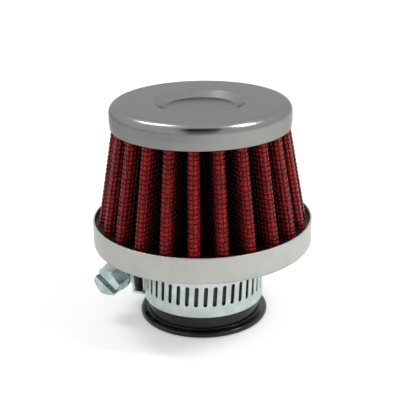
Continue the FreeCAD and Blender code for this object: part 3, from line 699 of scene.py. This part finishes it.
# Hose clamp strip. Zinc-plated steel strip with a punched slot for each turn of the screw's thread. It goes
# once round the neck, leaves it in a straight run, bends over and ends under the screw.
clamp_level = 11.5
clamp_bearing = math.radians(62.8)
band_outer = 16.45
strip_thickness = 0.7
strip_width = 12.0
slot_gap = 2.5
half_gap = slot_gap / 2
slot_length = 5.7
slot_width = 1.0
slot_tilt = math.radians(4)
edge_round = 0.14
slot_round = 0.1
tip_corner = 2.5
last_slot_to_tip = 2.0
fixed_end_angle = math.radians(15)
leave_angle = math.radians(66)
bend_centre = Vector((7.875, 14.52))
bend_outer = 3.35
tail_outer = 17.87
tail_front = -9.1
slots_before = 16
slots_after = 13
tail_slot_count = 6


def on_clamp(x, y, z=0.0):
    """A place in the clamp's own frame, millimetres, set on the filter; the screw lies along its x."""
    flat = Matrix.Rotation(clamp_bearing, 4, "Z") @ Vector((x, y, z))
    return Vector((flat.x * MM, flat.y * MM, (flat.z + clamp_level) * MM))


def arc(centre, radius, from_angle, to_angle, steps):
    """Points round part of a circle."""
    return [
        centre + radius * Vector((math.cos(angle), math.sin(angle)))
        for angle in (from_angle + (to_angle - from_angle) * step / steps for step in range(steps + 1))
    ]


ring_start = math.pi / 2 - fixed_end_angle
ring_end = 5 * math.pi / 2 - leave_angle
ring = arc(Vector((0, 0)), band_outer, ring_start, ring_end, steps=309)
bend = arc(bend_centre, bend_outer, math.pi / 2 - leave_angle, math.pi / 2, steps=33)
strip_route = ring + bend + [Vector((tail_front, tail_outer))]
ring_length = band_outer * (ring_end - ring_start)
route_length = length_of(strip_route)

arc_steps = 8
side_heights = (0.5, 0.0, -0.5)
slotted_kind, plain_kind, end_kind = range(3)


def strip_cell(name, after, slotted=True, end_corner=0.0):
    """One slot's share of the strip, lying flat: x along it, y across it, z out of it. It reaches half a gap
    back from its slot and the given distance past it.
    With an end corner the far side is closed, with its two corners rounded to that radius."""
    edge = strip_width / 2 - edge_round
    straight = (slot_length - slot_width) / 2
    border, hole, heights = [], [], []
    for side, near, far in ((1, after, -half_gap), (-1, -half_gap, after)):
        for step in range(arc_steps + 1):
            share = step / arc_steps
            border.append(Vector((near + (far - near) * share, side * edge)))
            hole.append(Vector((math.cos(math.pi * share), math.sin(math.pi * share))) * side)
            heights.append(side * straight)
        for height in side_heights:
            border.append(Vector((far, side * height * edge)))
            hole.append(Vector((-side, 0)))
            heights.append(side * height * straight * 2)
    count = len(border)
    half = count // 2
    corner_x = after - end_corner
    corner_y = edge + edge_round - end_corner
    if end_corner:
        for point in border:
            over_x = point.x - corner_x
            over_y = abs(point.y) - corner_y
            if over_x > 0 and over_y > 0:
                bent = Vector((over_x, over_y)).normalized() * (end_corner - edge_round)
                point.x = corner_x + bent.x
                point.y = math.copysign(corner_y + bent.y, point.y)
            elif over_x > 0:
                point.x = min(point.x, after - edge_round)
    form = bmesh.new()

    def loop_at(points, height):
        return [form.verts.new((point.x * MM, point.y * MM, height * MM)) for point in points]

    def slot_outline(grow):
        """The slot's outline, this much wider all round, leaning with the thread."""
        reach = slot_width / 2 + grow
        lean = math.tan(slot_tilt)
        return [
            Vector((out.x * reach + (height + out.y * slot_width / 2) * lean, height + out.y * reach))
            for out, height in zip(hole, heights)
        ]

    outside = loop_at(border, 0)
    inside = loop_at(border, -strip_thickness)
    if slotted:
        loops = [
            outside,
            loop_at(slot_outline(slot_round), 0),
            loop_at(slot_outline(0), -slot_round),
            loop_at(slot_outline(0), slot_round - strip_thickness),
            loop_at(slot_outline(slot_round), -strip_thickness),
            inside,
        ]
        for first, second in zip(loops, loops[1:]):
            skin(form, first, second)
    else:
        for loop in (outside, inside):
            top = loop[:arc_steps + 1]
            foot = loop[half:half + arc_steps + 1][::-1]
            for corners in zip(top, top[1:], foot[1:], foot):
                form.faces.new(corners)
    profile = []
    for angle in (math.pi / 6, math.pi / 3, math.pi / 2):
        profile.append((edge_round * math.sin(angle), edge_round * (1 - math.cos(angle))))
    profile += [(grow, strip_thickness - down) for grow, down in reversed(profile)]
    runs = [range(arc_steps + 1), range(half, half + arc_steps + 1)]
    if end_corner:
        runs = [[*range(half, count), *range(arc_steps + 1)]]
    for run in runs:
        columns = []
        for number in run:
            point = border[number]
            out = Vector((0, math.copysign(1, point.y)))
            if end_corner and point.x > corner_x:
                beyond = max(abs(point.y) - corner_y, 0)
                out = Vector((point.x - corner_x, math.copysign(beyond, point.y))).normalized()
            column = [outside[number]]
            for grow, down in profile:
                place = point + out * grow
                column.append(form.verts.new((place.x * MM, place.y * MM, -down * MM)))
            columns.append(column + [inside[number]])
        for first, second in zip(columns, columns[1:]):
            for corners in zip(first, first[1:], second[1:], second):
                form.faces.new(corners)
    return set_out(name, closed_mesh(name, form))


def stations(name, rows):
    """Bare points along the strip: each has a place, a stretch and the kind of cell that goes there."""
    mesh = bpy.data.meshes.new(name)
    mesh.from_pydata([(place * MM, 0, 0) for place, stretch, kind in rows], [], [])
    mesh.attributes.new("stretch", "FLOAT", "POINT").data.foreach_set("value", [row[1] for row in rows])
    mesh.attributes.new("kind", "INT", "POINT").data.foreach_set("value", [row[2] for row in rows])
    return set_out(name, mesh)


punched = Recipe("punched_strip")
station_points = punched.ask("Stations", "Object")
route = punched.ask("Route", "Object")
weld = punched.ask("Weld", "Float", 0.004 * MM)
cells = [punched.ask(name, "Object") for name in ("Slotted cell", "Plain cell", "End cell")]
punched_finish = punched.ask("Finish", "Material")
points = punched.add("GeometryNodeObjectInfo", None, {"Object": station_points}, output="Geometry")
stretch = punched.add("GeometryNodeInputNamedAttribute", {"data_type": "FLOAT"}, {"Name": "stretch"})
kind = punched.add("GeometryNodeInputNamedAttribute", {"data_type": "INT"}, {"Name": "kind"})
cell_scale = punched.add("ShaderNodeCombineXYZ", None, {0: stretch, 1: 1.0, 2: 1.0})
laid = punched.tree.nodes.new("GeometryNodeJoinGeometry")
for number, cell in zip((slotted_kind, plain_kind, end_kind), cells):
    chosen = punched.add(
        "FunctionNodeCompare",
        {"data_type": "INT", "operation": "EQUAL"},
        {2: kind, 3: number},
    )
    cell_mesh = punched.add("GeometryNodeObjectInfo", None, {"Object": cell}, output="Geometry")
    row_of_cells = punched.add(
        "GeometryNodeInstanceOnPoints",
        None,
        {"Points": points, "Selection": chosen, "Instance": cell_mesh, "Scale": cell_scale},
    )
    punched.tree.links.new(row_of_cells.socket, laid.inputs[0])
flat_strip = punched.add("GeometryNodeRealizeInstances", None, {"Geometry": Plug(punched, laid.outputs[0])})
welded = punched.add("GeometryNodeMergeByDistance", None, {"Geometry": flat_strip, "Distance": weld})
where = punched.add("ShaderNodeSeparateXYZ", None, {0: punched.add("GeometryNodeInputPosition")})
route_curve = punched.add("GeometryNodeObjectInfo", None, {"Object": route}, output="Geometry")
on_route = punched.add(
    "GeometryNodeSampleCurve",
    {"mode": "LENGTH"},
    {"Curves": route_curve, "Length": where},
    output="Position",
)
out_of_strip = punched.add(
    "ShaderNodeVectorMath",
    {"operation": "CROSS_PRODUCT"},
    {0: on_route.also("Tangent"), 1: (0.0, 0.0, 1.0)},
)
raised = punched.add(
    "ShaderNodeVectorMath",
    {"operation": "SCALE"},
    {0: out_of_strip, "Scale": where.also("Z")},
)
lifted = punched.add("ShaderNodeCombineXYZ", None, {2: where.also("Y")})
above_route = punched.add("ShaderNodeVectorMath", {"operation": "ADD"}, {0: on_route, 1: raised})
bent_place = punched.add("ShaderNodeVectorMath", {"operation": "ADD"}, {0: above_route, 1: lifted})
rolled = punched.add("GeometryNodeSetPosition", None, {"Geometry": welded, "Position": bent_place})
punched.finish(rolled, punched_finish)

zinc = Finish("zinc_plating", Metallic=1.0)
zinc_cloud = zinc.noise(3.0, 4.0)
zinc_grain = zinc.noise(0.5, 3.0)
zinc.drive("Base Color", zinc.tint(zinc_cloud, paint(186, 197, 195), paint(203, 213, 211)))
zinc.drive("Roughness", 0.36 + 0.12 * zinc_grain)
zinc.drive("Normal", zinc.bump(zinc_grain, 0.008))

front_of_ring = ring_length - band_outer * (math.pi - leave_angle)
ring_slots = [front_of_ring + slot_gap * step for step in range(-slots_before, slots_after + 1)]
plain_length = ring_slots[0] - half_gap
plain_count = 6
plain_share = plain_length / plain_count
plain_places = [plain_share * (step + 0.5) for step in range(plain_count)]
band_rows = [(place, plain_share / slot_gap, plain_kind) for place in plain_places]
band_rows += [(place, 1.0, slotted_kind) for place in ring_slots]
seam = ring_slots[-1] + half_gap
last_slot = route_length - last_slot_to_tip
tail_slots = [last_slot - slot_gap * step for step in range(tail_slot_count, 0, -1)]
run_count = 4
run_share = (tail_slots[0] - half_gap - seam) / run_count
run_places = [seam + run_share * (step + 0.5) for step in range(run_count)]
tail_rows = [(place, run_share / slot_gap, slotted_kind) for place in run_places]
tail_rows += [(place, 1.0, slotted_kind) for place in tail_slots]
tail_rows.append((last_slot, 1.0, end_kind))

route_holder = line_curve("strip_route", [on_clamp(*point) for point in strip_route])
slotted_cell = strip_cell("slotted_cell", half_gap)
plain_cell = strip_cell("plain_cell", half_gap, slotted=False)
end_cell = strip_cell("end_cell", last_slot_to_tip, end_corner=tip_corner)


def clamp_strip(name, rows, node):
    """A length of the strip, bent to its route, with its cut ends closed."""
    holder = stations(name + "_stations", rows)
    mesh = punched.make(
        Stations=holder,
        Route=route_holder,
        Slotted_cell=slotted_cell,
        Plain_cell=plain_cell,
        End_cell=end_cell,
        Finish=zinc.material,
    )
    bpy.data.objects.remove(holder)
    form = bmesh.new()
    form.from_mesh(mesh)
    cut_edges = [edge for edge in form.edges if edge.is_boundary]
    for edge in cut_edges:
        edge.smooth = False
    bmesh.ops.holes_fill(form, edges=cut_edges)
    bmesh.ops.recalc_face_normals(form, faces=form.faces)
    form.to_mesh(mesh)
    form.free()
    strip = joined(name, mesh, zinc)
    strip.modifiers.new("even_shading", "WEIGHTED_NORMAL").keep_sharp = True
    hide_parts(node)
    return strip


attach(clamp_strip("clamp_ring_strip", band_rows, "clamp_band"), "clamp")
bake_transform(clamp_strip("clamp_free_strip", tail_rows, "band_tail"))
for helper in (route_holder, slotted_cell, plain_cell, end_cell):
    bpy.data.objects.remove(helper)


# Clamp housing and saddle. Pressed and plated like the strip: the saddle curves over the band, and the
# housing is an arch over the screw with flanges folded down beside the strip. Barrelling breaks their edges.
def softened(node, name, body, finish, edge):
    """A solid's shape again, welded, with its edges broken to the given width in millimetres."""
    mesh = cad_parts[node].data.copy()
    form = bmesh.new()
    form.from_mesh(mesh)
    bmesh.ops.remove_doubles(form, verts=form.verts, dist=0.002 * MM)
    bmesh.ops.dissolve_limit(form, angle_limit=math.radians(0.5), verts=form.verts, edges=form.edges)
    form.to_mesh(mesh)
    form.free()
    for stored in ("custom_normal", "sharp_face", "sharp_edge"):
        if stored in mesh.attributes:
            mesh.attributes.remove(mesh.attributes[stored])
    mesh.shade_smooth()
    piece = joined(name, mesh, finish)
    broken = piece.modifiers.new("broken_edges", "BEVEL")
    broken.width = edge * MM
    broken.segments = 2
    broken.limit_method = "ANGLE"
    broken.angle_limit = math.radians(35)
    broken.harden_normals = True
    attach(piece, body)
    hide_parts(node)


softened("clamp_saddle", "clamp_saddle_plate", "clamp", zinc, 0.12)
softened("clamp_housing", "clamp_housing_pressing", "clamp", zinc, 0.14)


# Clamp screw. Turned and plated steel: a rolled thread, a plain neck, a washer collar and a hexagon with a
# driver slot. Its zinc is smoother than the strip's and a little bluer.
screw_zinc = Finish("screw_zinc_plating", Metallic=1.0)
screw_cloud = screw_zinc.noise(2.6, 3.0)
screw_grain = screw_zinc.noise(0.8, 2.0)
screw_zinc.drive("Base Color", screw_zinc.tint(screw_cloud, paint(166, 183, 183), paint(200, 212, 210)))
screw_zinc.drive("Roughness", 0.22 + 0.06 * screw_grain)
screw_zinc.drive("Normal", screw_zinc.bump(screw_grain, 0.002))
softened("clamp_screw", "clamp_screw_turned", "screw", screw_zinc, 0.1)


# Floor, light and camera. White paper under two soft boxes, high at the left and the right. A black and a
# grey card stand behind the camera, where only polished metal mirrors them, and darken the cap's bend.
def sheet(name, corners, finish):
    """A flat sheet with four corners, in metres."""
    mesh = bpy.data.meshes.new(name)
    mesh.from_pydata(corners, [], [(0, 1, 2, 3)])
    mesh.materials.append(finish.material)
    return set_out(name, mesh)


paper = Finish(
    "white_paper",
    Base_Color=(0.93, 0.93, 0.93, 1),
    Roughness=0.9,
    Specular_IOR_Level=0.0,
    Emission_Color=(1, 1, 1, 1),
)
seen = paper.add("ShaderNodeLightPath")
far_off = paper.spread(paper.from_middle(), 0.2, 0.7)
to_right = paper.spread(paper.from_axes()[0], -0.14, 0.14)
near_glow = 0.34
extra_far_off = 0.26
mirrored_glow = 0.06
painted_glow_to_right = 0.5
shown = (near_glow + extra_far_off * far_off) * seen
# In reflections the paper glows more towards the right: painted light that brightens the right side of the
# polished metal.
mirrored = (mirrored_glow + painted_glow_to_right * to_right) * seen.also("Is Glossy Ray")
paper.drive("Emission Strength", shown + mirrored)
beneath = paper.add("ShaderNodeNewGeometry", output="Backfacing")
clear = paper.add("ShaderNodeBsdfTransparent")
white = Plug(paper, paper.shader.outputs[0])
from_below = paper.add("ShaderNodeMixShader", None, {0: beneath, 1: white, 2: clear})
paper.tree.links.new(from_below.socket, paper.tree.nodes["Material Output"].inputs["Surface"])

floor_half = 3.0
floor_drop = 0.02
floor_corners = [(x * floor_half, y * floor_half, 0) for x, y in ((-1, -1), (1, -1), (1, 1), (-1, 1))]
floor = sheet("floor", floor_corners, paper)
floor.location.z = -floor_drop * MM

plain_light = 0.5
world = bpy.data.worlds.new("studio")
bpy.context.scene.world = world
world.use_nodes = True
sky = Graph(world.node_tree)
background = world.node_tree.nodes["Background"]
path = sky.add("ShaderNodeLightPath")
seen_white = path.maths("MAXIMUM", path, path.also("Is Glossy Ray"))
seen_white = seen_white.maths("MAXIMUM", seen_white, path.also("Is Transmission Ray"))
level = sky.add("ShaderNodeMix", {"data_type": "FLOAT"}, {0: seen_white, 2: plain_light, 3: 1.0})
background.inputs["Color"].default_value = (1, 1, 1, 1)
world.node_tree.links.new(level.socket, background.inputs["Strength"])

lamp_aim = 0.035


def soft_box(name, place, size, power):
    """A rectangular lamp that faces the filter."""
    lamp = bpy.data.lights.new(name, "AREA")
    lamp.shape = "RECTANGLE"
    lamp.size, lamp.size_y = size
    lamp.energy = power
    box = set_out(name, lamp)
    box.location = place
    box.visible_camera = False
    aim = Vector((0, 0, lamp_aim)) - Vector(place)
    box.rotation_euler = aim.to_track_quat("-Z", "Y").to_euler()


soft_box("left_box", place=(-0.29, 0.14, 0.6), size=(0.15, 0.24), power=1.2)
soft_box("right_box", place=(0.41, -0.1, 0.6), size=(0.18, 0.26), power=2.0)


def card(name, foot, head, shade):
    """A card of the given grey, which only shows where polished metal mirrors it.
    Its foot and its head each have half a width, a place along Y and a height."""
    corners = [(-foot[0], *foot[1:]), foot, head, (-head[0], *head[1:])]
    grey = (shade, shade, shade, 1)
    felt = Finish(name + "_felt", Roughness=1.0, Specular_IOR_Level=0.0, Base_Color=grey)
    board = sheet(name, corners, felt)
    board.visible_camera = False
    board.visible_diffuse = False
    board.visible_shadow = False


card("black_card", foot=(0.34, -0.74, 0.5), head=(0.36, -0.45, 1.05), shade=0.02)
card("grey_card", foot=(0.26, -0.8, 0.1), head=(0.3, -0.75, 0.5), shade=0.4)

camera_data = bpy.data.cameras.new("camera")
camera_data.lens = 80.78
camera_data.sensor_width = 36
camera_data.clip_start = 0.01
camera = set_out("camera", camera_data)
camera_place = (0, -0.23617, 0.12192)
tilt_down = math.radians(21.19)
swing = math.radians(0.38)
lean = math.radians(-0.847)
forward = Vector((
    math.sin(swing) * math.cos(tilt_down),
    math.cos(swing) * math.cos(tilt_down),
    -math.sin(tilt_down),
))
level_right = Vector((math.cos(swing), -math.sin(swing), 0))
level_up = level_right.cross(forward)
right = math.cos(lean) * level_right + math.sin(lean) * level_up
upright = -math.sin(lean) * level_right + math.cos(lean) * level_up
turned_camera = Matrix((right, upright, -forward)).transposed().to_4x4()
camera.matrix_world = Matrix.Translation(camera_place) @ turned_camera
bpy.context.scene.camera = camera
bpy.context.scene.view_settings.view_transform = "Standard"
